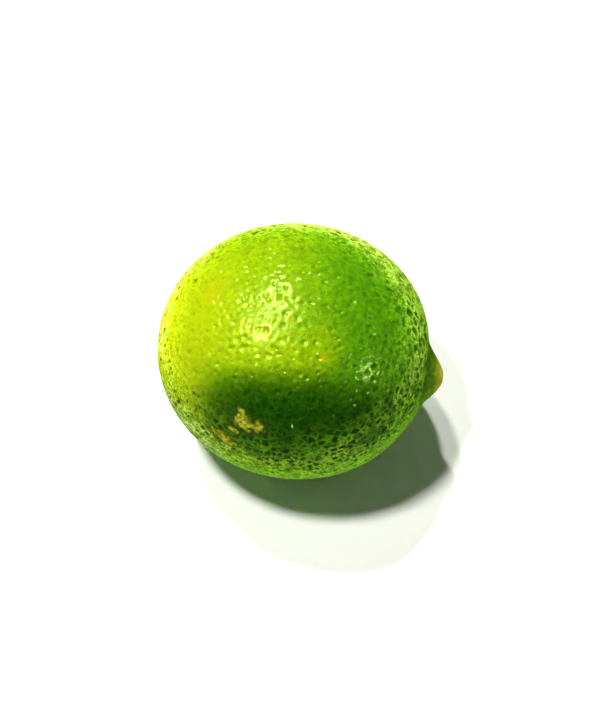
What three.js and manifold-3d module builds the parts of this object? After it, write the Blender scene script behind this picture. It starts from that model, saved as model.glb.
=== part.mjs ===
// A whole lime lying on its side, as one closed solid.
//
// Millimetres, +Z up. The fruit's axis lies along X: its stem end faces -X and its nipple faces +X.
// The origin is on the surface that it rests on, under the middle of the fruit.

import * as THREE from 'three';
import * as BufferGeometryUtils from 'three/addons/utils/BufferGeometryUtils.js';
import Module from 'manifold-3d';

// ---- Driving dimensions, in millimetres ----

// The body is an ellipse at the stem half and a slightly squarer one at the nipple half.
const GIRTH_RADIUS = 27.0;
const STEM_REACH = 29.15;
const SHOULDER_REACH = 28.75;
const SHOULDER_FULLNESS = 2.1; // 2 is a plain ellipse

// The nipple is a low, broad knob on the shoulder, a little to one side of the axis.
const NIPPLE_HEIGHT = 2.85;
const NIPPLE_RADIUS = 4.5;
const NIPPLE_STEEPNESS = 2.2;
const NIPPLE_OFFSET_Y = -2.1;
const NIPPLE_OFFSET_Z = -0.7;
const LEAN_RADIUS = 9.0; // how far from the axis the skin follows that offset
const LEAN_STEEPNESS = 4;

// A shallow furrow runs round the foot of the nipple.
const FURROW_RADIUS = 6.7;
const FURROW_WIDTH = 1.5;
const FURROW_DEPTH = 0.35;

// The style left a small dished scar on the tip.
const STYLE_SCAR_RADIUS = 1.2;
const STYLE_SCAR_DEPTH = 0.25;

// The stem broke off in a shallow dimple and left its button, a low round scar.
const DIMPLE_RADIUS = 3.4;
const DIMPLE_DEPTH = 0.9;
const BUTTON_RADIUS = 1.9;
const BUTTON_HEIGHT = 0.55;
const BUTTON_STEEPNESS = 6;

// Its own weight presses a small flat spot under the fruit.
const REST_SPOT_DEPTH = 0.58;

// ---- Mesh density ----

const SEGMENTS_AROUND = 60;
const ROWS_PER_HALF = 24;
const POLE_CROWDING = 1.35; // above 1, rows stand closer together near the two ends
const MERGE_DISTANCE = 1e-4;

const RIND = { color: 0x6fae14, roughness: 0.38, metalness: 0.0 };

// ---- The fruit's profile ----

const BELL = 2; // the steepness of a soft bell curve; more gives a flatter top and steeper sides

// A round hump, 1 in its middle and near 0 past its radius.
function hump(radius, humpRadius, steepness = BELL) {
  return Math.exp(-Math.pow(radius / humpRadius, steepness));
}

// How far the stem half reaches along the axis, at a distance from it.
function stemReach(radius) {
  const body = STEM_REACH * Math.sqrt(Math.max(0, 1 - (radius / GIRTH_RADIUS) ** 2));
  const dimple = DIMPLE_DEPTH * hump(radius, DIMPLE_RADIUS);
  const button = BUTTON_HEIGHT * hump(radius, BUTTON_RADIUS, BUTTON_STEEPNESS);
  return body - dimple + button;
}

// How far the nipple half reaches along the axis, at a distance from it.
function nippleReach(radius) {
  const inside = Math.max(0, 1 - (radius / GIRTH_RADIUS) ** 2);
  const body = SHOULDER_REACH * Math.pow(inside, 1 / SHOULDER_FULLNESS);
  const nipple = NIPPLE_HEIGHT * hump(radius, NIPPLE_RADIUS, NIPPLE_STEEPNESS);
  const furrow = FURROW_DEPTH * hump(Math.abs(radius - FURROW_RADIUS), FURROW_WIDTH);
  const scar = STYLE_SCAR_DEPTH * hump(radius, STYLE_SCAR_RADIUS);
  return body + nipple - furrow - scar;
}

// The distances from the axis of a half's rows, from its end to the widest place.
function rowRadii() {
  const radii = [];
  for (let row = 0; row <= ROWS_PER_HALF; row += 1) {
    const angle = (Math.PI / 2) * Math.pow(row / ROWS_PER_HALF, POLE_CROWDING);
    radii.push(row === ROWS_PER_HALF ? GIRTH_RADIUS : GIRTH_RADIUS * Math.sin(angle));
  }
  return radii;
}

// The profile from the stem end's pole to the nipple's, as (distance from the axis, place along it).
function fruitProfile() {
  const radii = rowRadii();
  const stemHalf = radii.map((radius) => new THREE.Vector2(radius, -stemReach(radius)));
  const nippleHalf = radii.map((radius) => new THREE.Vector2(radius, nippleReach(radius)));
  return [...stemHalf, ...nippleHalf.reverse().slice(1)];
}

// ---- The fruit's skin ----

// Moves the nipple and the skin round it to one side, without moving the rest.
function leanNipple(geometry) {
  const place = geometry.attributes.position;
  for (let i = 0; i < place.count; i += 1) {
    if (place.getX(i) > 0) {
      const radius = Math.hypot(place.getY(i), place.getZ(i));
      const share = hump(radius, LEAN_RADIUS, LEAN_STEEPNESS);
      place.setY(i, place.getY(i) + share * NIPPLE_OFFSET_Y);
      place.setZ(i, place.getZ(i) + share * NIPPLE_OFFSET_Z);
    }
  }
}

// Merges the vertices that stand in one place, as along a lathe's seam and at its poles, and drops the
// triangles that this leaves without area.
function closeMesh(geometry) {
  geometry.deleteAttribute('normal');
  geometry.deleteAttribute('uv');
  const merged = BufferGeometryUtils.mergeVertices(geometry, MERGE_DISTANCE);
  const corners = merged.index.array;
  const kept = [];
  for (let i = 0; i < corners.length; i += 3) {
    const [a, b, c] = [corners[i], corners[i + 1], corners[i + 2]];
    if (a !== b && b !== c && c !== a) {
      kept.push(a, b, c);
    }
  }
  merged.setIndex(kept);
  return merged;
}

function skinGeometry() {
  const lathe = new THREE.LatheGeometry(fruitProfile(), SEGMENTS_AROUND);
  lathe.rotateZ(-Math.PI / 2); // the lathe's axis is Y, and the fruit's is X
  leanNipple(lathe);
  return closeMesh(lathe);
}

// ---- The flat spot ----

const wasm = await Module();
wasm.setup();

function toSolid(geometry) {
  const vertProperties = new Float32Array(geometry.attributes.position.array);
  const triVerts = new Uint32Array(geometry.index.array);
  return new wasm.Manifold(new wasm.Mesh({ numProp: 3, vertProperties, triVerts }));
}

function toGeometry(solid) {
  const mesh = solid.getMesh();
  const geometry = new THREE.BufferGeometry();
  geometry.setAttribute('position', new THREE.BufferAttribute(mesh.vertProperties, 3));
  geometry.setIndex(new THREE.BufferAttribute(mesh.triVerts, 1));
  return geometry;
}

// The block of space under the rest spot, wider than the fruit.
function underRestSpot() {
  const side = 4 * GIRTH_RADIUS;
  const block = new THREE.BoxGeometry(side, side, side);
  block.translate(0, 0, -GIRTH_RADIUS + REST_SPOT_DEPTH - side / 2);
  return closeMesh(block);
}

// ---- The part ----

function lime() {
  const geometry = toGeometry(toSolid(skinGeometry()).subtract(toSolid(underRestSpot())));
  geometry.computeVertexNormals();
  geometry.computeBoundingBox();
  const { min, max } = geometry.boundingBox;
  const mesh = new THREE.Mesh(geometry, new THREE.MeshStandardMaterial(RIND));
  mesh.name = 'lime';
  mesh.position.set(-(min.x + max.x) / 2, -(min.y + max.y) / 2, -min.z);
  return mesh;
}

const part = new THREE.Group();
part.add(lime());

export default part;
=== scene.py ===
"""A whole lime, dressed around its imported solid.

The lime lies on a plain pale table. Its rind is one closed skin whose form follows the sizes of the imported
solid, with the oil glands, the corky scars and the small flat rest spot as real relief.
"""

import logging
import math
from dataclasses import dataclass, field, fields
from enum import Enum
from typing import Any, Callable, Iterable, Optional, Union

import bpy
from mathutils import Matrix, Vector


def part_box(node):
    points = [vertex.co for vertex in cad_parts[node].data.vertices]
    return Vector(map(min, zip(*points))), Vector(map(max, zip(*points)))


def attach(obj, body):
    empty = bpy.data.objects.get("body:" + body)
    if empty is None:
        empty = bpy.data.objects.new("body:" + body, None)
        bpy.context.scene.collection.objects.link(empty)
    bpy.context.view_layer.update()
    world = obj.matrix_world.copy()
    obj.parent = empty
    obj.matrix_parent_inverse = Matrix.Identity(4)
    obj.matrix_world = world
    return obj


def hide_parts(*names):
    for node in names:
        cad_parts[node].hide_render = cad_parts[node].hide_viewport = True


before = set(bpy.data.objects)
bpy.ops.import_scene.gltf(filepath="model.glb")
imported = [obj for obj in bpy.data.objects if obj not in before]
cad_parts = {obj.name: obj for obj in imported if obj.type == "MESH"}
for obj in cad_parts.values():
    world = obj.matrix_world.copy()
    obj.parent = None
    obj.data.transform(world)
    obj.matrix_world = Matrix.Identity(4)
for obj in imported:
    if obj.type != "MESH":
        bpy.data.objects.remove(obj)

MM = 0.001
ELLIPSE = 2.0  # the fullness of a plain ellipse
CAD_NODE = "lime"
BODY = "root"
LOG = logging.getLogger("lime")

Colour = tuple[float, float, float]
Pair = tuple[float, float]
Cover = tuple[float, float, float]
Value = Union["Field", float, int, tuple, Vector]


def lengths(start: float, end: float) -> Pair:
    """Two lengths in metres, given in millimetres."""
    return start * MM, end * MM


def turns(start: float, end: float) -> Pair:
    """Two angles in radians, given in degrees."""
    return math.radians(start), math.radians(end)


# ---- Node trees ----


def operator(operation: str, swapped: bool = False) -> Callable[["Field", Value], "Field"]:
    """Makes a method that does one step of arithmetic with a Math node.

    Args:
        operation: The node's operation, such as "ADD".
        swapped: Whether the other number comes first.

    Returns:
        The method.
    """

    def method(first: "Field", other: Value) -> "Field":
        """The result of the step on the two numbers."""
        return first.graph.math(operation, *((other, first) if swapped else (first, other)))

    return method


class Field:
    """A number or a vector that flows through a node tree, with the usual arithmetic on numbers."""

    def __init__(self, graph: "Graph", socket: bpy.types.NodeSocket) -> None:
        """Keeps the tree and the socket that the value comes from."""
        self.graph = graph
        self.socket = socket

    def __neg__(self) -> "Field":
        """The number with its sign changed."""
        return self * -1.0

    __add__ = operator("ADD")
    __radd__ = operator("ADD", swapped=True)
    __sub__ = operator("SUBTRACT")
    __rsub__ = operator("SUBTRACT", swapped=True)
    __mul__ = operator("MULTIPLY")
    __rmul__ = operator("MULTIPLY", swapped=True)
    __truediv__ = operator("DIVIDE")
    __rtruediv__ = operator("DIVIDE", swapped=True)
    __pow__ = operator("POWER")


@dataclass
class Graph:
    """A geometry or shader node tree, with short ways to add to it."""

    tree: bpy.types.NodeTree

    @staticmethod
    def find(sockets: Iterable[bpy.types.NodeSocket], identifier: str) -> bpy.types.NodeSocket:
        """The one of a node's inputs or outputs that has that identifier."""
        return next(socket for socket in sockets if socket.identifier == identifier)

    def feed(self, node: bpy.types.Node, values: dict[str, Value]) -> None:
        """Links fields to a node's inputs, or sets the inputs to plain values.

        Args:
            node: The node.
            values: The field or the plain value for each input, by the input's identifier.
        """
        for identifier, value in values.items():
            socket = self.find(node.inputs, identifier)
            if isinstance(value, Field):
                self.tree.links.new(value.socket, socket)
            else:
                socket.default_value = value

    def node(self, kind: str, values: Optional[dict[str, Value]] = None, **settings: Any) -> bpy.types.Node:
        """Adds a node.

        Args:
            kind: The node's type, such as "ShaderNodeMath".
            values: What goes into its inputs, by their identifiers.
            **settings: Properties to set on it.

        Returns:
            The new node.
        """
        made = self.tree.nodes.new(kind)
        for name, value in settings.items():
            setattr(made, name, value)
        self.feed(made, values or {})
        return made

    def result(
        self, kind: str, output: str, values: Optional[dict[str, Value]] = None, **settings: Any
    ) -> Field:
        """Adds a node in the same way and gives what comes out of the output with that identifier."""
        made = self.node(kind, values, **settings)
        return Field(self, self.find(made.outputs, output))

    def math(self, operation: str, *values: Value) -> Field:
        """The result of a Math node with an operation such as "POWER"."""
        inputs = dict(zip(("Value", "Value_001"), values))
        return self.result("ShaderNodeMath", "Value", inputs, operation=operation)

    def vector(self, operation: str, *values: Value) -> Field:
        """Adds a Vector Math node.

        Args:
            operation: The node's operation, such as "NORMALIZE".
            *values: What goes into its inputs, in order.

        Returns:
            Its result, a number for LENGTH, DISTANCE and DOT_PRODUCT and a vector otherwise.
        """
        output = "Value" if operation in ("LENGTH", "DISTANCE", "DOT_PRODUCT") else "Vector"
        inputs = dict(zip(("Vector", "Vector_001"), values))
        return self.result("ShaderNodeVectorMath", output, inputs, operation=operation)

    def scaled(self, vector: Value, by: Value) -> Field:
        """A vector times a number."""
        inputs = {"Vector": vector, "Scale": by}
        return self.result("ShaderNodeVectorMath", "Vector", inputs, operation="SCALE")

    def split(self, vector: Field) -> tuple[Field, Field, Field]:
        """The x, y and z of a vector."""
        made = self.node("ShaderNodeSeparateXYZ", {"Vector": vector})
        return tuple(Field(self, socket) for socket in made.outputs)

    def join(self, x: Value, y: Value, z: Value) -> Field:
        """A vector from its x, y and z."""
        return self.result("ShaderNodeCombineXYZ", "Vector", {"X": x, "Y": y, "Z": z})

    def across(self, first: Field, second: Field) -> Field:
        """How far a point is from an axis, from its two distances square to each other."""
        return self.math("SQRT", first * first + second * second)

    def ramp(self, value: Value, start: Value, end: Value) -> Field:
        """A smooth step of a value, 0 at the start and 1 at the end, which may be below the start."""
        inputs = {"Value": value, "From Min": start, "From Max": end}
        return self.result("ShaderNodeMapRange", "Result", inputs, interpolation_type="SMOOTHSTEP")

    def hump(self, distance: Value, size: Value, steepness: Value = 2.0) -> Field:
        """A round hump, 1 in its middle and near 0 past its size. Steepness flattens its top."""
        share = self.math("DIVIDE", distance, size)
        return self.math("EXPONENT", -(share**steepness))

    def noise(self, place: Value, size: Value, detail: float = 2.0, shift: float = 0.0) -> Field:
        """Smooth noise from 0 to 1, with features of that size in metres. Two shifts give two patterns."""
        inputs = {"Vector": place, "W": shift, "Scale": 1.0 / size, "Detail": detail}
        return self.result("ShaderNodeTexNoise", "Fac", inputs, noise_dimensions="4D")

    def drift(self, place: Value, size: float, detail: float = 2.0, shift: float = 0.0) -> Field:
        """The same noise from -0.5 to 0.5, mostly near 0."""
        return self.noise(place, size, detail, shift) - 0.5

    def wobble(self, place: Value, size: float, reach: float) -> Field:
        """A place moved a little, each way at random.

        Args:
            place: The place, in metres.
            size: How far the noise's features are apart, in metres.
            reach: About how far the place moves, in metres.

        Returns:
            The moved place.
        """
        inputs = {"Vector": place, "Scale": 1.0 / size}
        noise = self.result("ShaderNodeTexNoise", "Color", inputs, noise_dimensions="3D")
        aside = self.vector("SUBTRACT", noise, (0.5, 0.5, 0.5))
        return self.vector("ADD", place, self.scaled(aside, 2.0 * reach))

    def mix(self, share: Value, low: Value, high: Value) -> Field:
        """The number that lies that share of the way from low to high."""
        inputs = {"Factor_Float": share, "A_Float": low, "B_Float": high}
        return self.result("ShaderNodeMix", "Result_Float", inputs, data_type="FLOAT")

    def blend(self, share: Value, under: Value, over: Value) -> Field:
        """A colour laid over another.

        Args:
            share: How much of the upper colour shows, from 0 to 1.
            under: The lower colour.
            over: The upper colour.

        Returns:
            The colour.
        """
        inputs: dict[str, Value] = {"Factor_Float": share}
        for name, colour in (("A_Color", under), ("B_Color", over)):
            inputs[name] = colour if isinstance(colour, Field) else (*colour, 1.0)
        return self.result("ShaderNodeMix", "Result_Color", inputs, data_type="RGBA")

    def place(self) -> Field:
        """Where a point is, in metres."""
        if self.tree.bl_idname == "ShaderNodeTree":
            return self.result("ShaderNodeTexCoord", "Object")
        return self.result("GeometryNodeInputPosition", "Position")


# ---- The form ----


@dataclass(frozen=True)
class LimeForm:
    """The fruit's sizes in metres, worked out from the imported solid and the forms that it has."""

    girth_radius: float
    middle: Vector
    floor: float
    stem_reach: float = 29.15 * MM
    shoulder_reach: float = 28.75 * MM
    shoulder_fullness: float = 2.1
    nipple_height: float = 2.85 * MM
    nipple_radius: float = 4.5 * MM
    nipple_steepness: float = 2.2
    nipple_offset: Vector = field(default_factory=lambda: Vector((0.0, -2.1, -0.7)) * MM)
    lean_radius: float = 9.0 * MM
    lean_steepness: float = 4.0
    furrow_radius: float = 6.7 * MM
    furrow_width: float = 1.5 * MM
    furrow_depth: float = 0.35 * MM
    scar_radius: float = 1.2 * MM
    scar_depth: float = 0.25 * MM
    dimple_radius: float = 3.4 * MM
    dimple_depth: float = 0.9 * MM
    button_radius: float = 1.9 * MM
    button_height: float = 0.55 * MM
    button_steepness: float = 6.0

    @classmethod
    def from_frame(cls) -> "LimeForm":
        """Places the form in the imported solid's box.

        Returns:
            The form, as wide as the box and with its tip at the box's far end.
        """
        low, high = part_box(CAD_NODE)
        radius = (high.y - low.y) / 2
        tip = cls.shoulder_reach + cls.nipple_height - cls.scar_depth
        middle = Vector((high.x - tip, (low.y + high.y) / 2, high.z - radius))
        return cls(girth_radius=radius, middle=middle, floor=low.z)

    def surface(self, along: float, around: float, depth: float) -> Vector:
        """A place on the fruit's body, away from its two ends.

        Args:
            along: How far it is from the middle towards the nipple, in metres.
            around: Its angle from the top towards the front.
            depth: How far it is under the smooth skin, in metres.

        Returns:
            The place.
        """
        reach, fullness = self.stem_reach, ELLIPSE
        if along > 0.0:
            reach, fullness = self.shoulder_reach, self.shoulder_fullness
        radius = self.girth_radius * math.sqrt(1.0 - (abs(along) / reach) ** fullness) - depth
        return self.middle + Vector((along, -math.sin(around) * radius, math.cos(around) * radius))


@dataclass(frozen=True)
class LampSide:
    """The side of the fruit facing the camera and the lamps, where its swells stay low and its cells small.

    Away from it the pits get painted shade, and in the belt round it the ridges get painted reflection of
    the table. Each pair of angles is where something starts and ends, from the middle of the lamp side.
    """

    axis: Vector = field(default_factory=lambda: Vector((-0.05, -0.41, 0.91)).normalized())
    shade_edge: Pair = turns(42.0, 60.0)
    rim_edge: Pair = turns(53.0, 66.0)
    calm_edge: Pair = turns(77.0, 108.0)
    drift_size: float = 7.0 * MM
    drift_reach: float = math.radians(14.0)
    coarse_edge: Pair = lengths(-12.0, 0.0)

    def angle(self, from_middle: Field) -> Field:
        """The angle between the axis and the way from the fruit's middle to a point.

        Args:
            from_middle: The point, from the fruit's middle.

        Returns:
            The angle, which wanders a little from place to place.
        """
        graph = from_middle.graph
        along_axis = graph.vector("DOT_PRODUCT", graph.vector("NORMALIZE", from_middle), self.axis)
        drift = graph.drift(from_middle, self.drift_size, shift=31.0)
        return graph.math("ARCCOSINE", along_axis) + drift * self.drift_reach

    def shade(self, from_middle: Field) -> Field:
        """0 on the lamp side and 1 well away from it."""
        return from_middle.graph.ramp(self.angle(from_middle), *self.shade_edge)

    def rim(self, from_middle: Field) -> Field:
        """1 in the belt round the lamp side, whose ridges get the most painted reflection, and 0 either
        side.
        """
        graph, angle = from_middle.graph, self.angle(from_middle)
        return graph.ramp(angle, *self.rim_edge) * (1.0 - graph.ramp(angle, *self.calm_edge))

    def calm(self, from_middle: Field) -> Field:
        """0 on the lamp side and in its belt and 1 on the far side, whose colour is more even."""
        return from_middle.graph.ramp(self.angle(from_middle), *self.calm_edge)

    def coarseness(self, from_middle: Field) -> Field:
        """How large the cells are.

        Args:
            from_middle: The point, from the fruit's middle.

        Returns:
            0 where they are small and 1 at the back, where they are larger.
        """
        graph = from_middle.graph
        back = graph.split(from_middle)[1]
        return self.shade(from_middle) * graph.ramp(back, *self.coarse_edge)


class CellPart(Enum):
    """The part of a cell that a distance is measured to."""

    MIDDLE = "F1"
    EDGE = "DISTANCE_TO_EDGE"


@dataclass(frozen=True)
class Cells:
    """The small cells of the rind, each a shallow bowl with the pit of one oil gland, and ridges between.

    The edges are pairs of distances, as shares of a cell's size, between which a bowl or a pit ends.
    """

    sun: LampSide = field(default_factory=LampSide)
    fine_size: float = 1.5 * MM
    coarse_size: float = 2.0 * MM
    randomness: float = 0.9
    wobble_size: float = 0.9 * MM
    wobble_reach: float = 0.45 * MM
    bowl_edge: Pair = (0.04, 0.34)
    gland_edge: Pair = (0.05, 0.36)
    gland_drift: float = 1.1
    gland_drift_size: float = 1.8 * MM
    patch_size: float = 2.4 * MM
    patch_edge: Pair = (0.38, 0.58)

    def distance(self, coarseness: Field, part: CellPart) -> Field:
        """Reads the cell pattern where a point is.

        Args:
            coarseness: 0 gives the small cells and 1 the large ones.
            part: What the distance is measured to.

        Returns:
            The distance, as a share of the cells' size.
        """
        graph = coarseness.graph
        place = graph.wobble(graph.place(), self.wobble_size, self.wobble_reach)
        distances = []
        for size in (self.fine_size, self.coarse_size):
            inputs = {"Vector": place, "Scale": 1.0 / size, "Randomness": self.randomness}
            distances.append(graph.result("ShaderNodeTexVoronoi", "Distance", inputs, feature=part.value))
        return graph.mix(coarseness, *distances)

    def bowl(self, coarseness: Field) -> Field:
        """1 inside a cell and 0 on the ridges round it."""
        return coarseness.graph.ramp(self.distance(coarseness, CellPart.EDGE), *self.bowl_edge)

    def gland(self, coarseness: Field) -> Field:
        """How far a point is in the pit over a cell's oil gland.

        Args:
            coarseness: 0 gives the small cells and 1 the large ones.

        Returns:
            1 in the pit and 0 round it. The drift makes some pits wide and leaves others out.
        """
        graph = coarseness.graph
        drift = graph.drift(graph.place(), self.gland_drift_size, shift=21.0) * self.gland_drift
        distance = self.distance(coarseness, CellPart.MIDDLE) + drift
        return 1.0 - graph.ramp(distance, *self.gland_edge)

    def patches(self, graph: Graph) -> Field:
        """1 where the cells stand out and 0 where the skin is nearly even."""
        return graph.ramp(graph.noise(graph.place(), self.patch_size, shift=17.0), *self.patch_edge)


@dataclass(frozen=True)
class Relief:
    """The rind's relief, in metres. All of it goes inwards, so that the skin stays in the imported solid."""

    rows: int = 129
    unevenness: float = 0.12 * MM
    unevenness_size: float = 24.0 * MM
    bowl_depth: float = 0.13 * MM
    gland_depth: float = 0.26 * MM
    faint_patch: float = 0.55
    strong_patch: float = 1.2
    swell_depth: float = 0.2 * MM
    swell_size: float = 2.6 * MM
    sunny_swell: float = 0.45
    crust_height: float = 0.07 * MM
    crust_size: float = 1.0 * MM
    crust_least: float = 0.4
    bare_start: float = 0.8
    bare_button_end: float = 1.6
    bare_scar_end: float = 2.0


# ---- The marks ----


class MarkKind(Enum):
    """What a mark on the rind is."""

    CORK = "cork"
    BRUISE = "bruise"
    FLECK = "fleck"
    BLUSH = "blush"


@dataclass(frozen=True)
class Blotch:
    """One ragged oval of a mark.

    Its middle is so many millimetres along the fruit, from the fruit's middle towards the nipple, and so
    many degrees around it, from the top towards the front. Its half sizes are in millimetres.
    """

    kind: MarkKind
    along: float
    around: float
    half_length: float
    half_height: float

    @property
    def reach(self) -> Vector:
        """Its half sizes along x, y and z, in metres."""
        half_depth = max(self.half_length, self.half_height)
        return Vector((self.half_length, half_depth, self.half_height)) * MM


@dataclass(frozen=True)
class Marks:
    """The marks that the lime got while it grew: corky scars, bruises, a blush and pale flecks.

    A ring of painted shadow lies round each corky scar. Each Pair is where a mark's colour or crust is full
    and where it ends, as nearness gives it. Each Cover is such a pair and how much of the colour shows.
    """

    blotches: tuple[Blotch, ...] = (
        Blotch(MarkKind.CORK, -7.5, 63.0, 0.9, 1.8),
        Blotch(MarkKind.CORK, -6.5, 67.0, 2.2, 1.4),
        Blotch(MarkKind.CORK, -4.0, 67.0, 1.1, 1.4),
        Blotch(MarkKind.CORK, -9.0, 72.0, 1.2, 0.5),
        Blotch(MarkKind.CORK, -11.5, 79.0, 1.9, 1.3),
        Blotch(MarkKind.CORK, -10.0, 81.0, 1.5, 1.0),
        Blotch(MarkKind.BRUISE, 0.0, 20.0, 0.7, 0.6),
        Blotch(MarkKind.BRUISE, 7.0, 33.0, 0.7, 0.7),
        Blotch(MarkKind.BLUSH, -16.0, 7.0, 3.0, 3.0),
        Blotch(MarkKind.FLECK, 2.5, 64.0, 0.15, 0.45),
        Blotch(MarkKind.FLECK, 6.0, 32.0, 0.2, 0.2),
    )
    depth: float = 0.1 * MM
    raggedness: float = 2.8
    ragged_size: float = 1.3 * MM
    crust_edge: Pair = (0.8, 1.2)
    # Where the ring of painted shadow round each corky scar lies.
    cork_shadow_ring: Cover = (1.2, 2.2, 0.75)
    cork_edge: Cover = (0.5, 1.4, 0.95)
    cork_grain_size: float = 0.7 * MM
    cork_grain: Pair = (0.4, 0.6)
    bruise_edge: Cover = (0.5, 1.6, 0.8)
    bruise_grain_size: float = 0.5 * MM
    bruise_grain: Pair = (0.42, 0.58)
    bruise_least: float = 0.3
    blush_edge: Cover = (0.2, 1.4, 0.4)
    fleck_edge: Cover = (0.8, 1.2, 1.0)

    def nearness(self, graph: Graph, form: LimeForm, kind: MarkKind) -> Field:
        """How near a point is to a mark of one kind.

        Args:
            graph: The tree that asks.
            form: The fruit that the marks lie on.
            kind: Which marks count.

        Returns:
            0 in a blotch's middle, about 1 at its edge and more outside.
        """
        place = graph.place()
        nearest = None
        for blotch in self.blotches:
            if blotch.kind is kind:
                around = math.radians(blotch.around)
                middle = form.surface(blotch.along * MM, around, self.depth)
                offset = graph.vector("SUBTRACT", place, middle)
                distance = graph.vector("LENGTH", graph.vector("DIVIDE", offset, blotch.reach))
                nearest = distance if nearest is None else graph.math("MINIMUM", nearest, distance)
        return nearest + graph.drift(place, self.ragged_size, detail=5.0) * self.raggedness

    @staticmethod
    def cover(near: Field, start: float, end: float, share: float) -> Field:
        """How much of a mark's colour shows: that share up to the start, and none past the end."""
        return share - share * near.graph.ramp(near, start, end)


# ---- The rind's tree ----


@dataclass
class RindTree:
    """The Geometry Nodes tree that makes the rind from the sizes on its inputs."""

    form: LimeForm
    relief: Relief
    cells: Cells
    marks: Marks
    material: bpy.types.Material
    name: str = "rind_form"
    inputs: dict[str, Field] = field(default_factory=dict)
    values: dict[str, Any] = field(default_factory=dict)

    def __post_init__(self) -> None:
        """Adds the empty tree."""
        self.tree = bpy.data.node_groups.new(self.name, "GeometryNodeTree")
        self.graph = Graph(self.tree)

    def declare_inputs(self) -> None:
        """Gives the tree one named input for each size of the form and the relief."""
        kinds = {int: "NodeSocketInt", float: "NodeSocketFloat", Vector: "NodeSocketVector"}
        source = self.graph.node("NodeGroupInput")
        for sizes in (self.form, self.relief):
            for item in fields(sizes):
                value = getattr(sizes, item.name)
                title = item.name.replace("_", " ").capitalize()
                made = self.tree.interface.new_socket(title, in_out="INPUT", socket_type=kinds[type(value)])
                self.values[made.identifier] = value
                self.inputs[item.name] = Field(self.graph, self.graph.find(source.outputs, made.identifier))

    def moved(self, geometry: Field, place: Field) -> Field:
        """The geometry with each of its points at another place."""
        inputs = {"Geometry": geometry, "Position": place}
        return self.graph.result("GeometryNodeSetPosition", "Geometry", inputs)

    def pushed_in(self, geometry: Field, depth: Field) -> Field:
        """The geometry with its points moved inwards, against the surface's normal.

        Args:
            geometry: What is moved.
            depth: How far each point goes.

        Returns:
            The moved geometry.
        """
        inwards = self.graph.scaled(self.graph.result("GeometryNodeInputNormal", "Normal"), -depth)
        inputs = {"Geometry": geometry, "Offset": inwards}
        return self.graph.result("GeometryNodeSetPosition", "Geometry", inputs)

    def ball(self) -> Field:
        """A closed cube of even squares, whose points are then read as directions."""
        rows = {f"Vertices {axis}": self.inputs["rows"] for axis in "XYZ"}
        return self.graph.result("GeometryNodeMeshCube", "Mesh", {"Size": (2.0, 2.0, 2.0), **rows})

    def direction(self) -> Field:
        """The direction of a cube's point, spread so that the squares stay even on a ball."""
        angle = self.graph.scaled(self.graph.place(), math.pi / 4)
        return self.graph.vector("NORMALIZE", self.graph.vector("TANGENT", angle))

    def profile(self) -> Field:
        """Where a direction's point is on the smooth fruit.

        Returns:
            The point.
        """
        graph, size = self.graph, self.inputs
        along, side, up = graph.split(self.direction())
        radius = graph.across(side, up) * size["girth_radius"]
        reach = graph.math("ABSOLUTE", along)
        stem = (
            size["stem_reach"] * reach
            - size["dimple_depth"] * graph.hump(radius, size["dimple_radius"])
            + size["button_height"] * graph.hump(radius, size["button_radius"], size["button_steepness"])
        )
        from_furrow = graph.math("ABSOLUTE", radius - size["furrow_radius"])
        nipple = (
            size["shoulder_reach"] * reach ** (2.0 / size["shoulder_fullness"])
            + size["nipple_height"] * graph.hump(radius, size["nipple_radius"], size["nipple_steepness"])
            - size["furrow_depth"] * graph.hump(from_furrow, size["furrow_width"])
            - size["scar_depth"] * graph.hump(radius, size["scar_radius"])
        )
        nipple_half = graph.math("GREATER_THAN", along, 0.0)
        lean = nipple_half * graph.hump(radius, size["lean_radius"], size["lean_steepness"])
        x = graph.mix(nipple_half, -stem, nipple)
        body = graph.join(x, side * size["girth_radius"], up * size["girth_radius"])
        leaned = graph.vector("ADD", body, graph.scaled(size["nipple_offset"], lean))
        return graph.vector("ADD", leaned, size["middle"])

    def from_middle(self) -> Field:
        """The way from the fruit's middle to a point."""
        return self.graph.vector("SUBTRACT", self.graph.place(), self.inputs["middle"])

    def bare_ends(self) -> Field:
        """How far a point is from the stem button and the style scar, which have no glands.

        Returns:
            0 on them and 1 elsewhere.
        """
        graph, size = self.graph, self.inputs
        from_middle = self.from_middle()
        along, side, up = graph.split(from_middle)
        leaned = graph.vector("SUBTRACT", from_middle, size["nipple_offset"])
        tip_side, tip_up = graph.split(leaned)[1:]
        button, scar, start = size["button_radius"], size["scar_radius"], size["bare_start"]
        off_button = graph.ramp(graph.across(side, up), button * start, button * size["bare_button_end"])
        off_scar = graph.ramp(graph.across(tip_side, tip_up), scar * start, scar * size["bare_scar_end"])
        return graph.mix(graph.math("GREATER_THAN", along, 0.0), off_button, off_scar)

    def bowls(self) -> Field:
        """How deep a point is in the rind's cells.

        Returns:
            The depth, in metres.
        """
        graph, size, cells = self.graph, self.inputs, self.cells
        from_middle = self.from_middle()
        shade = cells.sun.shade(from_middle)
        coarseness = cells.sun.coarseness(from_middle)
        bowl = cells.bowl(coarseness) * size["bowl_depth"]
        gland = cells.gland(coarseness) * size["gland_depth"]
        strength = graph.mix(cells.patches(graph), size["faint_patch"], size["strong_patch"])
        swells = graph.noise(graph.place(), size["swell_size"], shift=2.0)
        swell = swells * size["swell_depth"] * graph.mix(shade, size["sunny_swell"], 1.0)
        return ((bowl + gland) * strength + swell) * self.bare_ends()

    def flattened(self, geometry: Field) -> Field:
        """The geometry with all that would hang below the floor pressed flat on it.

        Args:
            geometry: What is flattened.

        Returns:
            The geometry with its flat spot.
        """
        x, y, z = self.graph.split(self.graph.place())
        level = self.graph.math("MAXIMUM", z, self.inputs["floor"])
        return self.moved(geometry, self.graph.join(x, y, level))

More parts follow.
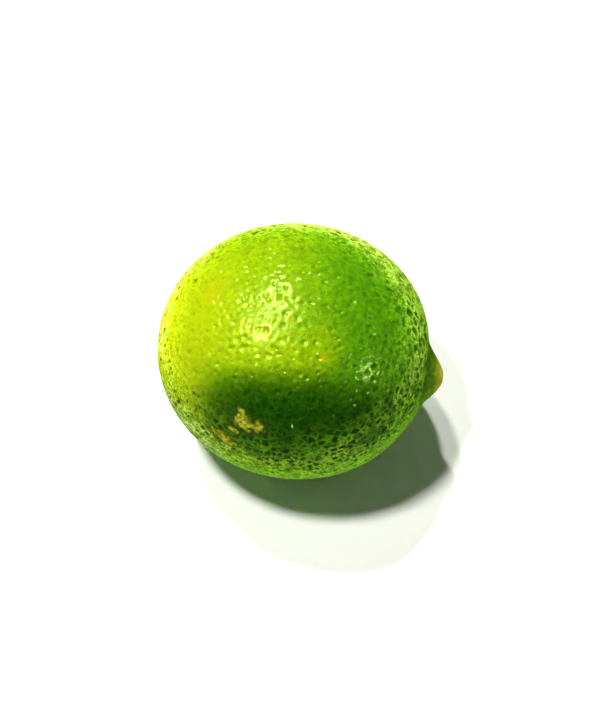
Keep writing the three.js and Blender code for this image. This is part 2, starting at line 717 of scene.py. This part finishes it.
    def build(self) -> bpy.types.NodeTree:
        """Builds the tree from its inputs to the dressed skin.

        Returns:
            The tree.
        """
        graph, size, marks = self.graph, self.inputs, self.marks
        self.declare_inputs()
        rind = self.tree.interface.new_socket("Rind", in_out="OUTPUT", socket_type="NodeSocketGeometry")
        skin = self.moved(self.ball(), self.profile())
        hollows = graph.noise(graph.place(), size["unevenness_size"], detail=1.0)
        skin = self.pushed_in(skin, hollows * size["unevenness"])
        cork = 1.0 - graph.ramp(marks.nearness(graph, self.form, MarkKind.CORK), *marks.crust_edge)
        crust = cork * (size["crust_least"] + graph.noise(graph.place(), size["crust_size"], detail=3.0))
        skin = self.pushed_in(skin, self.bowls() * (1.0 - cork) - crust * size["crust_height"])
        skin = self.flattened(skin)
        for kind in ("GeometryNodeSetShadeSmooth", "GeometryNodeRealizeInstances"):
            skin = graph.result(kind, "Geometry", {"Geometry": skin})
        dressed = {"Geometry": skin, "Material": self.material}
        skin = graph.result("GeometryNodeSetMaterial", "Geometry", dressed)
        graph.node("NodeGroupOutput", {rind.identifier: skin})
        return self.tree


# ---- The finish ----


@dataclass(frozen=True)
class Pigment:
    """The rind's colours."""

    leaf: Colour = (0.06, 0.205, 0.002)
    spring: Colour = (0.2, 0.33, 0.002)
    yellow: Colour = (0.29, 0.38, 0.002)
    # Partly the rind's own yellow and partly painted reflection along the stem end's upper rim.
    dawn: Colour = (0.68, 0.72, 0.002)
    band: Colour = (0.33, 0.46, 0.002)
    # This and the next colour are partly the rind's own green and partly painted shade.
    front: Colour = (0.055, 0.18, 0.002)
    deep: Colour = (0.005, 0.042, 0.001)
    belly: Colour = (0.085, 0.32, 0.006)
    # Painted reflection of the table, laid over the upper back.
    behind: Colour = (0.5, 0.72, 0.04)
    underside: Colour = (0.2, 0.42, 0.04)
    # The four colours below are painted reflection on the ridges.
    pale: Colour = (0.22, 0.6, 0.008)
    upper_ridge_reflection: Colour = (0.5, 0.75, 0.006)
    frost: Colour = (0.62, 0.86, 0.11)
    low_frost: Colour = (0.57, 0.8, 0.17)
    # Partly the glands' own darker green and partly painted shade in the pits.
    pit: Colour = (0.035, 0.12, 0.004)
    cork: Colour = (0.43, 0.44, 0.025)
    cork_shade: Colour = (0.13, 0.15, 0.003)
    # Painted shadow in a ring round the corky scars.
    cork_shadow_ring: Colour = (0.02, 0.05, 0.002)
    bruise: Colour = (0.38, 0.3, 0.003)
    blush: Colour = (0.42, 0.34, 0.002)
    fleck: Colour = (0.45, 0.62, 0.1)
    tip: Colour = (0.45, 0.43, 0.025)
    olive: Colour = (0.13, 0.2, 0.003)
    # Painted shade, laid in the furrow round the nipple and the collar round the stem button.
    furrow: Colour = (0.03, 0.09, 0.003)
    button: Colour = (0.3, 0.26, 0.07)
    button_shade: Colour = (0.12, 0.11, 0.02)


@dataclass(frozen=True)
class Ground:
    """Where each broad colour of the rind starts and is full, and how much of it shows.

    Names that end in along are places from the fruit's middle towards the nipple, and those in around are
    angles from the top towards the front. Those in turn are angles from the top to either side. A drift is
    how much the noise shifts a place or an angle.
    """

    drift_size: float = 9.0 * MM
    along_drift: float = 12.0 * MM
    around_drift: float = 0.5
    spring_along: Pair = lengths(14.0, -8.0)
    # Where the painted reflection of the table lies on the upper back.
    behind_around: Pair = turns(28.0, 50.0)
    behind_fade: Pair = turns(95.0, 140.0)
    behind_spread_along: Pair = lengths(5.0, 20.0)
    behind_spread: float = math.radians(20.0)
    behind_share: float = 0.35
    nipple_along: Pair = lengths(8.0, 18.0)
    nipple_turn: float = math.radians(26.0)
    stem_along: Pair = lengths(-6.0, -14.0)
    stem_turn: float = math.radians(8.0)
    band_along: Pair = lengths(14.0, 2.0)
    band_around: float = math.radians(31.0)
    band_width: float = math.radians(9.0)
    band_share: float = 0.45
    rear_around: Pair = turns(30.0, 70.0)
    rear_turn: Pair = turns(72.0, 150.0)
    rear_drift: float = 1.3
    belly_turn: Pair = turns(84.0, 110.0)
    belly_share: float = 0.85
    underside_turn: Pair = turns(92.0, 106.0)
    underside_share: float = 0.45
    yellow_middle: Vector = field(default_factory=lambda: Vector((-24.0, -6.0, 14.0)) * MM)
    yellow_reach: Pair = lengths(9.0, 23.0)
    yellow_drift: float = 7.0 * MM
    # The stem end's pale yellow below is partly the rind's own colour and partly painted reflection.
    stem_reflection_along: Pair = lengths(-19.0, -27.0)
    stem_reflection_turn: Pair = turns(45.0, 85.0)
    stem_reflection_drift: float = 0.6
    stem_reflection_rear_around: float = math.radians(40.0)
    stem_reflection_rear_slope: float = 0.8
    stem_reflection_share: float = 0.75
    # The front's darker green and the deep patch below are partly own colour and partly painted shade.
    front_along: Pair = lengths(-20.0, -10.0)
    front_around: Pair = turns(38.0, 50.0)
    front_fade: Pair = (1.2, 1.5)
    front_drift: float = 0.3
    front_share: float = 0.8
    deep_along: float = 4.5 * MM
    deep_length: float = 24.0 * MM
    deep_steepness: float = 3.0
    deep_around: float = math.radians(67.0)
    deep_width: float = math.radians(30.0)
    deep_edge: Pair = (1.1, 0.1)
    deep_drift: float = 0.7
    deep_fine_drift: float = 0.5


@dataclass(frozen=True)
class Mottle:
    """How the ridges, the pits and the fine grain are coloured, and how that differs from place to place.

    The pale ridges are painted reflection and the dark pits are partly painted shade. The names of places
    are as in Ground. The numbers below them are shares. Each is named for what it changes and then for the
    kind of place where it does so.
    """

    stem_along: Pair = lengths(-6.0, -16.0)
    nipple_along: Pair = lengths(12.0, 22.0)
    below_around: Pair = turns(40.0, 75.0)
    low_around: Pair = turns(66.0, 88.0)
    low_fade: Pair = turns(160.0, 110.0)
    upper_stem_turn: Pair = turns(95.0, 50.0)
    ends_radius: Pair = lengths(5.0, 11.0)
    rim_below: float = 0.7
    rim_low: float = 0.85
    rim_patches: Pair = (0.1, 1.2)
    rim_share: float = 0.62
    rim_nipple: float = 0.6
    crest_steepness: float = 2.0
    crest_patches: Pair = (0.4, 1.0)
    crest_least: float = 0.05
    crest_shade: float = 0.6
    crest_below: float = 0.25
    crest_calm: float = 0.3
    upper_stem_share: float = 0.8
    pit_patches: Pair = (0.75, 1.0)
    pit_share: float = 0.6
    pit_calm: float = 0.2
    dark_least: float = 0.14
    dark_smooth: float = 0.1
    dark_shade: float = 0.44
    dark_stem: float = 0.22
    dark_below: float = 0.14
    dark_calm: float = 0.35
    shade_level: float = 0.92
    fine_size: float = 0.9 * MM
    fine_share: float = 1.3
    fine_smooth: float = 0.7
    speckle_size: float = 0.38 * MM
    speckle_smooth: float = 0.7
    speckle_shade: float = 2.0
    speckle_calm: float = 1.7
    low_dark: float = 0.15


@dataclass(frozen=True)
class Ends:
    """How the nipple and the stem button are coloured.

    The radii and widths without a unit are shares of the form's own furrow, nipple, scar and button.
    """

    ragged_size: float = 1.6 * MM
    tip_raggedness: float = 1.2 * MM
    button_raggedness: float = 0.8 * MM
    furrow_width: float = 1.3
    furrow_share: float = 0.6
    olive_radius: float = 0.6
    olive_share: float = 0.8
    tip_radii: Pair = (3.6, 1.6)
    button_edge: float = 1.3
    dry_size: float = 0.6 * MM
    dry_edge: Pair = (0.4, 0.6)
    collar_radius: float = 1.25
    collar_width: float = 0.5
    collar_share: float = 0.6


class RindColour:
    """The part of the rind's material that works out its colour from a point's place."""

    def __init__(
        self, graph: Graph, form: LimeForm, cells: Cells, marks: Marks, finish: "RindFinish"
    ) -> None:
        """Keeps what the colour is made from, and works out what several of its layers share."""
        self.graph = graph
        self.form = form
        self.marks = marks
        self.pigment = finish.pigment
        self.colour: Value = self.pigment.leaf
        self.plan = finish.ground
        self.mottle = finish.mottle
        self.ends = finish.ends
        self.place = graph.place()
        self.from_middle = graph.vector("SUBTRACT", self.place, form.middle)
        self.along, self.side, self.up = graph.split(self.from_middle)
        self.around = graph.math("ARCTAN2", -self.side, self.up)
        self.turn = graph.math("ABSOLUTE", self.around)
        self.off_axis = graph.across(self.side, self.up)
        self.drift = graph.drift(self.place, self.plan.drift_size, detail=3.0)
        self.shade = cells.sun.shade(self.from_middle)
        self.calm = cells.sun.calm(self.from_middle)
        self.rim = cells.sun.rim(self.from_middle)
        coarseness = cells.sun.coarseness(self.from_middle)
        self.crest = 1.0 - cells.bowl(coarseness)
        self.gland = cells.gland(coarseness)
        self.patches = cells.patches(graph)
        self.stem_side = graph.ramp(self.along, *self.mottle.stem_along)
        self.below = graph.ramp(self.around, *self.mottle.below_around)
        low = graph.ramp(self.around, *self.mottle.low_around) * self.stem_side
        self.low = low * graph.ramp(self.around, *self.mottle.low_fade)

    def lay(self, share: Value, colour: Value) -> None:
        """Lays a colour over those that are there, as thickly as the share says."""
        self.colour = self.graph.blend(share, self.colour, colour)

    def lay_ground(self) -> None:
        """Lays the broad greens, more yellow along the top towards the stem and paler below.

        The pale upper back is painted reflection of the table.
        """
        graph, pigment, plan = self.graph, self.pigment, self.plan
        along = self.along + self.drift * plan.along_drift
        self.lay(graph.ramp(along, *plan.spring_along), pigment.spring)
        # Painted reflection of the table, pale over the upper back.
        spread = graph.ramp(self.along, *plan.behind_spread_along) * plan.behind_spread
        behind = graph.ramp(self.drift * plan.around_drift - self.around + spread, *plan.behind_around)
        behind = behind * (1.0 - graph.ramp(-self.around, *plan.behind_fade))
        self.lay(behind * plan.behind_share, pigment.behind)
        band = graph.hump(graph.math("ABSOLUTE", self.around - plan.band_around), plan.band_width)
        band = band * graph.ramp(along, *plan.band_along)
        self.lay(band * plan.band_share, pigment.band)
        turn = self.turn + graph.ramp(self.along, *plan.nipple_along) * plan.nipple_turn
        turn = turn + graph.ramp(self.along, *plan.stem_along) * plan.stem_turn
        at_rear = graph.ramp(-self.around, *plan.rear_around)
        rear = graph.ramp(turn + self.drift * plan.rear_drift, *plan.rear_turn)
        belly = graph.ramp(turn + self.drift * plan.around_drift, *plan.belly_turn)
        belly = graph.mix(at_rear, belly, rear)
        self.lay(belly * plan.belly_share, pigment.belly)
        lowest = graph.mix(at_rear, graph.ramp(turn, *plan.underside_turn), rear)
        self.lay(lowest * plan.underside_share, pigment.underside)

    def lay_yellow_and_stem_reflection(self) -> None:
        """Lays the yellow shoulder.

        The pale yellow over the stem end's upper rim is partly the rind's own colour and partly painted
        reflection.
        """
        graph, pigment, plan = self.graph, self.pigment, self.plan
        distance = graph.vector("DISTANCE", self.from_middle, plan.yellow_middle)
        distance = distance + self.drift * plan.yellow_drift
        self.lay(1.0 - graph.ramp(distance, *plan.yellow_reach), pigment.yellow)
        # A pale yellow at the stem end, partly own colour and partly painted reflection along its upper rim.
        rear = (-self.around - plan.stem_reflection_rear_around) * plan.stem_reflection_rear_slope
        turn = graph.math("MAXIMUM", self.around, rear) + self.drift * plan.stem_reflection_drift
        dawn = graph.ramp(self.along, *plan.stem_reflection_along) * (1.0 - graph.ramp(turn, *plan.stem_reflection_turn))
        self.lay(dawn * plan.stem_reflection_share, pigment.dawn)

    def lay_shade(self) -> None:
        """Lays a darker green over the front and a deep green patch low on it.

        Both are partly the rind's own colour and partly painted shade.
        """
        graph, pigment, plan = self.graph, self.pigment, self.plan
        # A darker green over the front, partly own colour and partly painted shade.
        front = graph.ramp(self.around + self.drift * plan.front_drift, *plan.front_around)
        front = front * graph.ramp(self.along, *plan.front_along)
        front = front * (1.0 - graph.ramp(self.around, *plan.front_fade))
        self.lay(front * plan.front_share, pigment.front)
        # The deep green patch is partly own colour and partly painted shade.
        length = graph.math("ABSOLUTE", (self.along - plan.deep_along) / plan.deep_length)
        width = (self.around - plan.deep_around) / plan.deep_width
        fine = graph.drift(self.place, self.mottle.fine_size, shift=3.0)
        distance = length**plan.deep_steepness + width * width
        distance = distance + self.drift * plan.deep_drift + fine * plan.deep_fine_drift
        self.lay(graph.ramp(distance, *plan.deep_edge), pigment.deep)

    def lay_ridge_reflection(self) -> None:
        """Lays painted reflection on the ridges between the cells, palest in the belt round the lamp side.
        """
        graph, pigment, mottle = self.graph, self.pigment, self.mottle
        kept = 1.0 - (self.below - self.low * mottle.rim_low) * mottle.rim_below
        rim = self.rim * kept * graph.ramp(self.off_axis, *mottle.ends_radius)
        shaded = self.shade * (mottle.crest_shade - self.below * mottle.crest_below)
        plain = graph.mix(self.patches, *mottle.crest_patches)
        plain = plain * (mottle.crest_least + shaded - self.calm * mottle.crest_calm)
        strong = graph.mix(self.patches, *mottle.rim_patches) * rim * mottle.rim_share
        crest = self.crest**mottle.crest_steepness * (plain + strong)
        upper_stem = self.stem_side * graph.ramp(self.turn, *mottle.upper_stem_turn)
        pale = graph.blend(upper_stem * mottle.upper_stem_share, pigment.pale, pigment.upper_ridge_reflection)
        frost = graph.blend(self.low, pigment.frost, pigment.low_frost)
        rim_reflected = rim * (1.0 - graph.ramp(self.along, *mottle.nipple_along) * mottle.rim_nipple)
        # Painted reflection on the ridges, whitest in the belt round the lamp side.
        self.lay(crest, graph.blend(rim_reflected, pale, frost))

    def lay_pits(self) -> None:
        """Lays the dark pits and the fine unevenness of the colour.

        The pits' darkening is partly the glands' own green and partly painted shade, which grows away from
        the lamp side. That side gets a little painted shade overall, and the colour is darker still low on
        the stem side.
        """
        graph, mottle = self.graph, self.mottle
        smooth = self.stem_side * (1.0 - self.shade)
        gland = self.gland * graph.mix(self.patches, *mottle.pit_patches)
        # Painted shade in the pits away from the lamp side, over the glands' own darker green.
        pit = gland * self.shade * (mottle.pit_share - self.calm * mottle.pit_calm)
        self.lay(pit, self.pigment.pit)
        shaded = mottle.dark_shade + self.stem_side * mottle.dark_stem + self.below * mottle.dark_below
        dark = mottle.dark_least - smooth * mottle.dark_smooth + self.shade * shaded
        dark = dark - self.calm * mottle.dark_calm
        # A little painted shade over the side away from the lamps, and darker pits there.
        level = graph.mix(self.shade, 1.0, mottle.shade_level) * (1.0 - gland * dark)
        fine = graph.drift(self.place, mottle.fine_size, detail=3.0, shift=5.0)
        level = level * (1.0 + fine * (mottle.fine_share - smooth * mottle.fine_smooth))
        speckle = graph.drift(self.place, mottle.speckle_size, shift=6.0)
        strength = 1.0 - smooth * mottle.speckle_smooth + self.shade * mottle.speckle_shade
        level = level * (1.0 + speckle * (strength - self.calm * mottle.speckle_calm))
        level = level * (1.0 - self.low * self.shade * mottle.low_dark)
        self.colour = graph.vector("MULTIPLY", self.colour, graph.join(level, level, level))

    def lay_ends(self) -> None:
        """Lays the nipple's and the stem button's own colours.

        The furrow round the nipple and the collar round the button get painted shade.
        """
        graph, form, pigment, ends = self.graph, self.form, self.pigment, self.ends
        leaned = graph.vector("SUBTRACT", self.from_middle, form.nipple_offset)
        ragged = graph.drift(self.place, ends.ragged_size, detail=3.0, shift=9.0)
        from_tip = graph.across(*graph.split(leaned)[1:]) + ragged * ends.tip_raggedness
        nipple_half = graph.math("GREATER_THAN", self.along, 0.0)
        foot = graph.math("ABSOLUTE", from_tip - form.furrow_radius)
        in_furrow = nipple_half * graph.hump(foot, form.furrow_width * ends.furrow_width)
        # Painted shade in the furrow round the nipple.
        self.lay(in_furrow * ends.furrow_share, pigment.furrow)
        top = form.nipple_radius * ends.olive_radius
        on_nipple = nipple_half * graph.ramp(from_tip, form.furrow_radius, top)
        self.lay(on_nipple * ends.olive_share, pigment.olive)
        tip_start, tip_end = (form.scar_radius * share for share in ends.tip_radii)
        on_tip = nipple_half * graph.ramp(from_tip, tip_start, tip_end)
        self.lay(on_tip, pigment.tip)
        from_stem = self.off_axis + ragged * ends.button_raggedness
        stem_half = 1.0 - nipple_half
        from_collar = from_stem - form.button_radius * ends.collar_radius
        collar = stem_half * graph.hump(from_collar, form.button_radius * ends.collar_width)
        # Painted shade in the collar round the stem button.
        self.lay(collar * ends.collar_share, pigment.furrow)
        dry = graph.ramp(graph.noise(self.place, ends.dry_size, detail=3.0, shift=15.0), *ends.dry_edge)
        edge = form.button_radius * ends.button_edge
        on_button = stem_half * graph.ramp(from_stem, edge, form.button_radius)
        self.lay(on_button, graph.blend(dry, pigment.button_shade, pigment.button))

    def lay_marks(self) -> None:
        """Lays the corky scars, the bruises, the blush and the flecks."""
        graph, pigment, marks = self.graph, self.pigment, self.marks
        near_cork = marks.nearness(graph, self.form, MarkKind.CORK)
        # A ring of painted shadow round the corky scars.
        self.lay(marks.cover(near_cork, *marks.cork_shadow_ring), pigment.cork_shadow_ring)
        speckle = graph.noise(self.place, marks.cork_grain_size, detail=4.0, shift=11.0)
        speckle = graph.ramp(speckle, *marks.cork_grain)
        cork = graph.blend(speckle, pigment.cork_shade, pigment.cork)
        self.lay(marks.cover(near_cork, *marks.cork_edge), cork)
        broken = graph.noise(self.place, marks.bruise_grain_size, detail=3.0, shift=4.0)
        broken = graph.mix(graph.ramp(broken, *marks.bruise_grain), marks.bruise_least, 1.0)
        bruised = marks.cover(marks.nearness(graph, self.form, MarkKind.BRUISE), *marks.bruise_edge)
        self.lay(bruised * broken, pigment.bruise)
        blushed = marks.cover(marks.nearness(graph, self.form, MarkKind.BLUSH), *marks.blush_edge)
        self.lay(blushed, pigment.blush)
        flecked = marks.cover(marks.nearness(graph, self.form, MarkKind.FLECK), *marks.fleck_edge)
        self.lay(flecked, pigment.fleck)

    def build(self) -> Field:
        """Lays the colours over each other.

        Returns:
            The rind's colour.
        """
        self.lay_ground()
        self.lay_yellow_and_stem_reflection()
        self.lay_shade()
        self.lay_ridge_reflection()
        self.lay_pits()
        self.lay_ends()
        self.lay_marks()
        return self.colour


@dataclass(frozen=True)
class RindFinish:
    """The waxy rind, with its colours and its marks."""

    name: str = "lime_rind"
    pigment: Pigment = field(default_factory=Pigment)
    ground: Ground = field(default_factory=Ground)
    mottle: Mottle = field(default_factory=Mottle)
    ends: Ends = field(default_factory=Ends)
    roughness: float = 0.135
    cork_roughness: float = 0.75
    cork_edge: Pair = (0.9, 1.2)
    gloss: float = 0.02
    gloss_tint: Colour = (0.78, 1.0, 0.22)
    gloss_facing: Pair = (0.62, 0.35)
    grain_size: float = 0.35 * MM
    grain_depth: float = 0.015 * MM
    gland_share: float = 2.0

    def build(self, form: LimeForm, cells: Cells, marks: Marks) -> bpy.types.Material:
        """Makes the material.

        Args:
            form: The fruit's sizes.
            cells: The rind's cells.
            marks: The marks on it.

        Returns:
            The material.
        """
        material = bpy.data.materials.new(self.name)
        material.use_nodes = True
        graph = Graph(material.node_tree)
        cork = 1.0 - graph.ramp(marks.nearness(graph, form, MarkKind.CORK), *self.cork_edge)
        facing = graph.result("ShaderNodeLayerWeight", "Facing")
        from_middle = graph.vector("SUBTRACT", graph.place(), form.middle)
        gland = cells.gland(cells.sun.coarseness(from_middle))
        grain = graph.noise(graph.place(), self.grain_size, shift=13.0) - gland * self.gland_share
        bump = {"Distance": self.grain_depth, "Height": grain}
        inputs = {
            "Base Color": RindColour(graph, form, cells, marks, self).build(),
            "Roughness": graph.mix(cork, self.roughness, self.cork_roughness),
            "Specular IOR Level": graph.ramp(facing, *self.gloss_facing) * self.gloss,
            "Specular Tint": (*self.gloss_tint, 1.0),
            "Normal": graph.result("ShaderNodeBump", "Normal", bump),
        }
        graph.feed(material.node_tree.nodes["Principled BSDF"], inputs)
        return material


@dataclass(frozen=True)
class TableFinish:
    """The plain white table top."""

    name: str = "white_table"
    colour: Colour = (0.9, 0.89, 0.84)
    roughness: float = 0.7

    def build(self) -> bpy.types.Material:
        """Makes the material.

        Returns:
            The material.
        """
        material = bpy.data.materials.new(self.name)
        material.use_nodes = True
        shader = material.node_tree.nodes["Principled BSDF"]
        shader.inputs["Base Color"].default_value = (*self.colour, 1.0)
        shader.inputs["Roughness"].default_value = self.roughness
        shader.inputs["Specular IOR Level"].default_value = 0.0
        return material


# ---- The pieces ----


@dataclass
class Rind:
    """The lime's whole skin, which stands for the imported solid."""

    form: LimeForm
    relief: Relief = field(default_factory=Relief)
    cells: Cells = field(default_factory=Cells)
    marks: Marks = field(default_factory=Marks)
    finish: RindFinish = field(default_factory=RindFinish)
    name: str = "lime_rind"
    slot: str = "rind"

    def build(self) -> bpy.types.Object:
        """Runs the tree, keeps its result as a plain mesh and gives it to the frame.

        Returns:
            The rind.
        """
        material = self.finish.build(self.form, self.cells, self.marks)
        tree = RindTree(self.form, self.relief, self.cells, self.marks, material)
        group = tree.build()
        maker = bpy.data.objects.new("rind_maker", bpy.data.meshes.new("rind_maker"))
        bpy.context.scene.collection.objects.link(maker)
        modifier = maker.modifiers.new("rind", "NODES")
        modifier.node_group = group
        for identifier, value in tree.values.items():
            modifier[identifier] = value
        evaluated = maker.evaluated_get(bpy.context.evaluated_depsgraph_get())
        mesh = bpy.data.meshes.new_from_object(evaluated)
        maker.modifiers.remove(modifier)
        bpy.data.objects.remove(maker)
        mesh.name = self.name
        piece = bpy.data.objects.new(self.name, mesh)
        bpy.context.scene.collection.objects.link(piece)
        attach(piece, BODY)
        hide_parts(CAD_NODE)
        return piece


@dataclass
class Table:
    """The plain pale surface that the lime lies on. It isn't part of the lime."""

    floor: float
    half_side: float = 3.0
    finish: TableFinish = field(default_factory=TableFinish)

    def build(self) -> bpy.types.Object:
        """Makes the table top, which is one square.

        Returns:
            The table top.
        """
        side = self.half_side
        corners = [(-side, -side), (side, -side), (side, side), (-side, side)]
        mesh = bpy.data.meshes.new("table_top")
        mesh.from_pydata([(x, y, self.floor) for x, y in corners], [], [(0, 1, 2, 3)])
        mesh.materials.append(self.finish.build())
        table = bpy.data.objects.new("table_top", mesh)
        bpy.context.scene.collection.objects.link(table)
        return table


# ---- Light and camera ----


@dataclass(frozen=True)
class Lamp:
    """A round lamp that faces the lime. Its place is in metres from the point under the lime."""

    name: str
    place: Vector
    diameter: float
    watts: float
    colour: Colour = (1.0, 1.0, 1.0)
    even: bool = False
    glints_only: bool = False

    def build(self, aim: Vector) -> bpy.types.Object:
        """Makes the lamp. The light of an even one doesn't fall off with distance.

        Args:
            aim: The point that it faces.

        Returns:
            The lamp.
        """
        light = bpy.data.lights.new(self.name, "AREA")
        light.shape = "DISK"
        light.size = self.diameter
        light.energy = self.watts
        light.color = self.colour
        if self.even:
            light.use_nodes = True
            graph = Graph(light.node_tree)
            constant = graph.result("ShaderNodeLightFalloff", "Constant", {"Strength": 1.0})
            graph.feed(light.node_tree.nodes["Emission"], {"Strength": constant})
        lamp = bpy.data.objects.new(self.name, light)
        lamp.visible_diffuse = not self.glints_only
        lamp.location = self.place
        lamp.rotation_euler = (aim - self.place).to_track_quat("-Z", "Y").to_euler()
        bpy.context.scene.collection.objects.link(lamp)
        return lamp


@dataclass
class Studio:
    """The light round the lime: a close pair of compact lamps far off, a near one and a dim even fill.

    The highlights come mostly from larger and softer lamps in the same directions, which light nothing else.
    """

    aim: Vector
    fill: float = 0.09
    fill_colour: Colour = (1.0, 1.0, 1.0)
    lamps: tuple[Lamp, ...] = (
        Lamp("right_far_lamp", Vector((-0.565, 1.048, 2.513)), 0.12, 42.0),
        Lamp("left_far_lamp", Vector((-0.84, 0.867, 2.513)), 0.12, 38.0),
        Lamp("near_lamp", Vector((-0.088, -0.037, 0.312)), 0.035, 10.0, even=True),
        Lamp("far_glint", Vector((-0.649, 0.993, 2.513)), 0.6, 680.0, glints_only=True),
        Lamp("near_glint", Vector((-0.115, -0.085, 0.298)), 0.1, 14.0, glints_only=True),
        Lamp("between_glint", Vector((-0.32, 0.16, 1.18)), 0.42, 160.0, glints_only=True),
        Lamp("wide_glint", Vector((-0.41, -0.12, 1.175)), 1.2, 180.0, glints_only=True),
        Lamp("low_glint", Vector((0.457, -0.19, 0.204)), 0.13, 10.0, glints_only=True),
    )

    def build(self) -> None:
        """Makes the lamps and the fill."""
        for lamp in self.lamps:
            lamp.build(self.aim)
        world = bpy.data.worlds.new("soft_fill")
        world.use_nodes = True
        background = world.node_tree.nodes["Background"]
        background.inputs["Color"].default_value = (*self.fill_colour, 1.0)
        background.inputs["Strength"].default_value = self.fill
        bpy.context.scene.world = world
        bpy.context.scene.view_settings.view_transform = "Standard"


@dataclass
class Viewpoint:
    """The camera, which looks down on the lime from a short way in front."""

    middle: Vector
    azimuth: float = math.radians(7.31)
    elevation: float = math.radians(57.86)
    distance: float = 0.2319
    lens_mm: float = 56.42
    near_clip: float = 0.01
    aim_shift: Vector = field(default_factory=lambda: Vector((-1.12, 0.16, -0.02)) * MM)

    def build(self) -> bpy.types.Object:
        """Makes the camera and gives it to the scene.

        Returns:
            The camera.
        """
        flat = math.cos(self.elevation)
        side, front = math.sin(self.azimuth) * flat, -math.cos(self.azimuth) * flat
        back = Vector((side, front, math.sin(self.elevation)))
        data = bpy.data.cameras.new("camera")
        data.lens = self.lens_mm
        data.clip_start = self.near_clip
        camera = bpy.data.objects.new("camera", data)
        camera.location = self.middle + self.aim_shift + back * self.distance
        camera.rotation_euler = (-back).to_track_quat("-Z", "Y").to_euler()
        bpy.context.scene.collection.objects.link(camera)
        bpy.context.scene.camera = camera
        return camera


# ---- The whole ----


def main() -> None:
    """Builds the camera, the rind, the table and the light, in that order, and reports the last three."""
    logging.basicConfig(level=logging.INFO, format="%(name)s: %(message)s")
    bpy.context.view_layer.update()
    form = LimeForm.from_frame()
    box_middle = Vector((0.0, 0.0, form.middle.z))
    Viewpoint(box_middle).build()
    rind = Rind(form).build()
    LOG.info("%s has %d faces", rind.name, len(rind.data.polygons))
    table = Table(form.floor).build()
    LOG.info("%s is laid under it", table.name)
    Studio(box_middle).build()
    LOG.info("the lamps and the fill are set")


if __name__ == "__main__":
    main()
